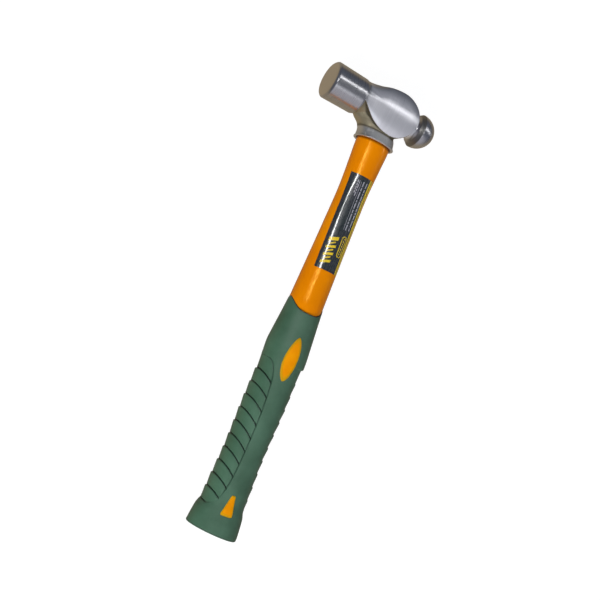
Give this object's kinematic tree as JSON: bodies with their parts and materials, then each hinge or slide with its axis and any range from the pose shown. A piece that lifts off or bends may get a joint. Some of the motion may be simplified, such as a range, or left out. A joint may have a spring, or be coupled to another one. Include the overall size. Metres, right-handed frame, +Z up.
{
  "type": "ball peen hammer",
  "caption": "Ball peen hammer with a round striking face, a ball peen, a moulded handle over a glass-fibre core and a ridged soft grip.",
  "frame": {"origin": "middle of the underside of the hammer's box, as it lies on its side on a table", "axes": "+X along the handle from the butt to the head, +Y the way the striking face looks, +Z up out of the labelled side"},
  "size_m": [0.344, 0.0948, 0.0288],
  "materials": {
    "forged_steel": "ground and satin polished, forged grey on the skirt",
    "glass_fibre": "sawn pultruded rod",
    "epoxy": "cast, slightly glossy",
    "orange_plastic": "smooth moulded, glossy",
    "green_rubber": "matte soft grip with moulded ridges",
    "inlay_plastic": "smooth moulded, satin",
    "label_film": "glossy printed film"
  },
  "bodies": {
    "root": {"head": "forged_steel", "core_rod": "glass_fibre", "eye_resin": "epoxy", "handle_jacket": "orange_plastic", "grip": "green_rubber", "thumb_inlay_front": "inlay_plastic", "thumb_inlay_back": "inlay_plastic", "butt_inlay_front": "inlay_plastic", "butt_inlay_back": "inlay_plastic", "label": "label_film"}
  },
  "joints": []
}
